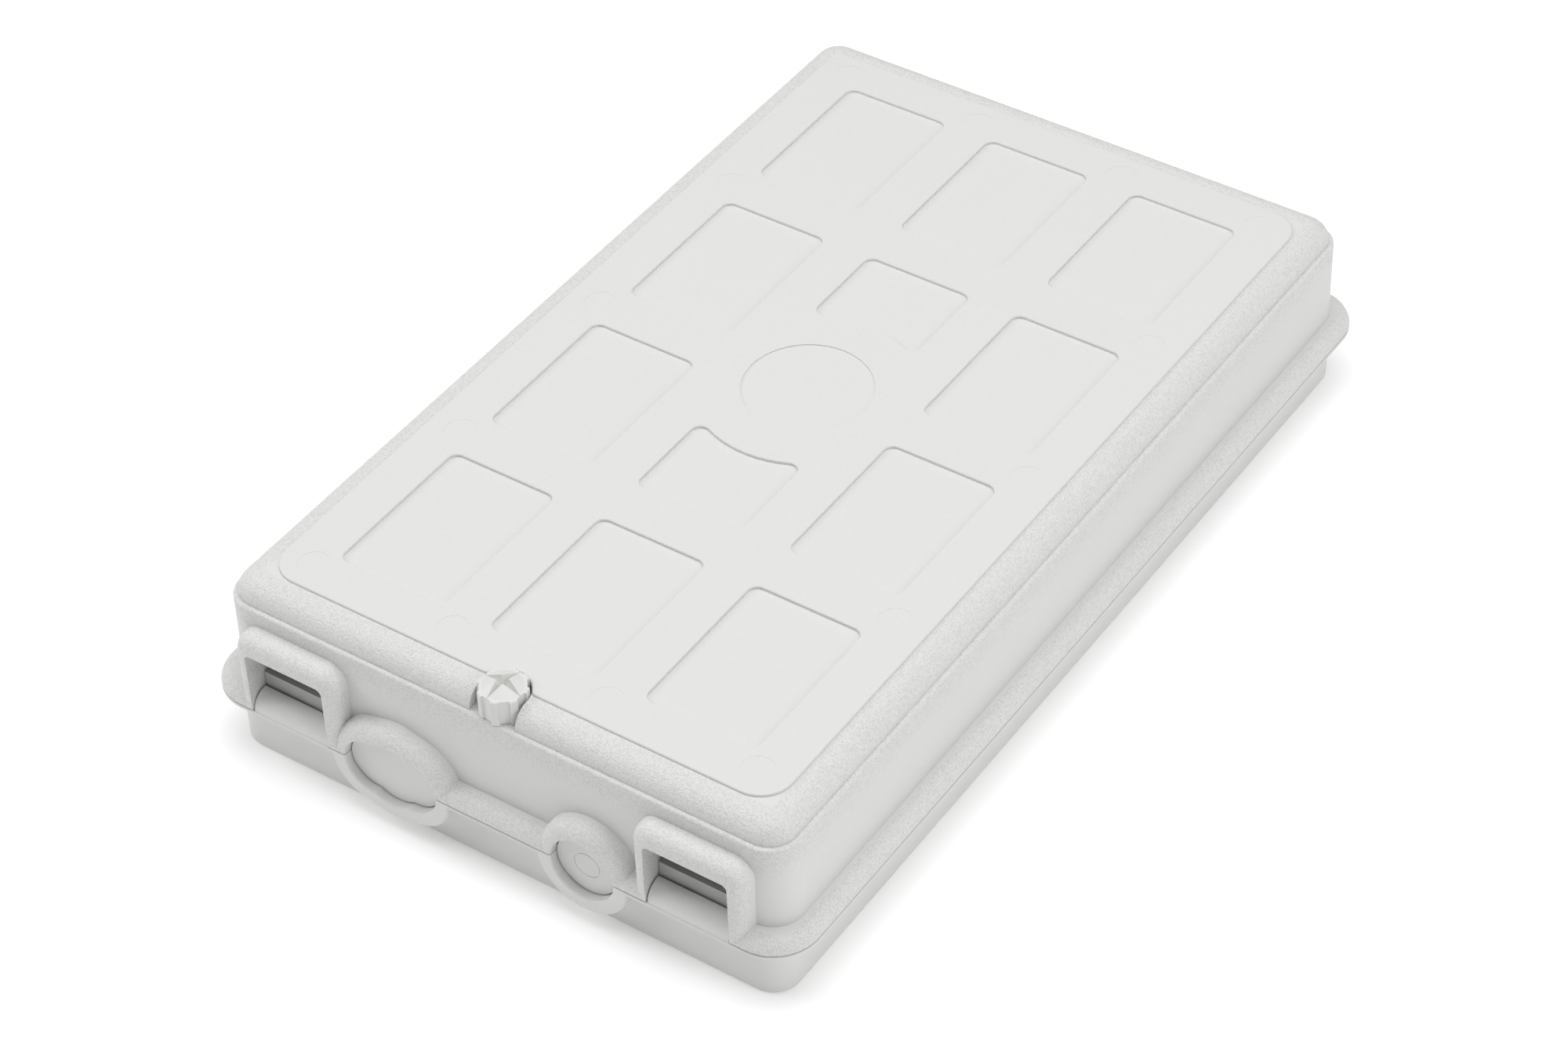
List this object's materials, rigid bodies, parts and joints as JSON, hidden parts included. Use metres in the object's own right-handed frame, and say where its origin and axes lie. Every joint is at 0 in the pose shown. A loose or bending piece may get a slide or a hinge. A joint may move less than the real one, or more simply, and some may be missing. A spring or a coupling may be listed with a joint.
{
  "type": "fibre termination box",
  "caption": "Flat wall-mount fibre termination box with a hinged, ribbed-panel lid, snap latches, a captive thumbscrew, blanked cable ports, a splice tray and a field of capped adapters.",
  "frame": {"origin": "middle of the box's back face, on the wall plane (bottom centre of the bounding box as it lies on its back)", "axes": "+X across the box, +Y from the cable-port end to the lid's hinge end, +Z out of the wall through the lid"},
  "size_m": [0.1936, 0.3114, 0.0621],
  "materials": {
    "shell": "light warm grey moulded plastic, finely grained on the outer rims",
    "seal": "black foam rubber cord",
    "tray": "grey moulded plastic",
    "clear_cover": "clear smoky plastic sheet",
    "splice_grip": "black soft rubber",
    "adapter": "blue moulded plastic",
    "dust_cap": "soft translucent grey-white plastic",
    "steel": "zinc-plated steel",
    "brass": "turned brass"
  },
  "bodies": {
    "base": {"adapter_panel": "tray", "adapter_panel_screws": "steel", "base_shell": "shell", "cable_clamp_large": "steel", "cable_clamp_screws": "steel", "cable_clamp_small": "steel", "dust_cap_front_1": "dust_cap", "dust_cap_front_2": "dust_cap", "dust_cap_front_3": "dust_cap", "dust_cap_front_4": "dust_cap", "dust_cap_front_5": "dust_cap", "dust_cap_front_6": "dust_cap", "dust_cap_front_7": "dust_cap", "dust_cap_front_8": "dust_cap", "dust_cap_rear_1": "dust_cap", "dust_cap_rear_2": "dust_cap", "dust_cap_rear_3": "dust_cap", "dust_cap_rear_4": "dust_cap", "dust_cap_rear_5": "dust_cap", "dust_cap_rear_6": "dust_cap", "dust_cap_rear_7": "dust_cap", "dust_cap_rear_8": "dust_cap", "earth_nut": "steel", "earth_stud": "steel", "hinge_pin_left": "steel", "hinge_pin_right": "steel", "lid_gasket": "seal", "port_blank_large": "shell", "port_blank_small": "shell", "sc_adapter_1": "adapter", "sc_adapter_2": "adapter", "sc_adapter_3": "adapter", "sc_adapter_4": "adapter", "sc_adapter_5": "adapter", "sc_adapter_6": "adapter", "sc_adapter_7": "adapter", "sc_adapter_8": "adapter", "screw_insert": "brass", "slack_guide_left": "tray", "slack_guide_right": "tray", "strength_clamp_large": "steel", "strength_clamp_screws": "steel", "strength_clamp_small": "steel", "tray_hinge_pin": "steel"},
    "lid": {"lid_shell": "shell"},
    "snap_bar_left": {"snap_bar_left": "shell"},
    "snap_bar_right": {"snap_bar_right": "shell"},
    "screw_washer": {"knob_washer": "steel"},
    "thumbscrew": {"thumbscrew_knob": "shell", "thumbscrew_shank": "steel", "shank_clip": "steel"},
    "tray": {"splice_tray": "tray", "tray_cover": "clear_cover", "splice_holder_front": "splice_grip", "splice_holder_rear": "splice_grip"}
  },
  "joints": [
    {"name": "lid_hinge", "type": "hinge", "parent": "base", "child": "lid", "pos_m": [0, 0.1532, 0.019], "axis": [-1, 0, 0], "range_deg": [0, 100]},
    {"name": "tray_hinge", "type": "hinge", "parent": "base", "child": "tray", "pos_m": [0, 0.122, 0.024], "axis": [-1, 0, 0], "range_deg": [0, 80]},
    {"name": "screw_turn", "type": "hinge", "parent": "lid", "child": "screw_washer", "pos_m": [0, -0.1422, 0.052], "axis": [0, 0, 1], "range_deg": [0, 1440]},
    {"name": "screw_lift", "type": "slide", "parent": "screw_washer", "child": "thumbscrew", "axis": [0, 0, 1], "range_m": [0, 0.006]},
    {"name": "snap_bar_left_flex", "type": "slide", "parent": "lid", "child": "snap_bar_left", "axis": [0, 1, 0], "range_m": [0, 0.0012], "stiffness_N_per_m": 3000},
    {"name": "snap_bar_right_flex", "type": "slide", "parent": "lid", "child": "snap_bar_right", "axis": [0, 1, 0], "range_m": [0, 0.0012], "stiffness_N_per_m": 3000}
  ],
  "couplings": [
    {"joint": "tray_hinge", "follows": "lid_hinge", "ratio": 0.8},
    {"joint": "screw_turn", "follows": "screw_lift", "rad_per_m": 4188.7}
  ]
}
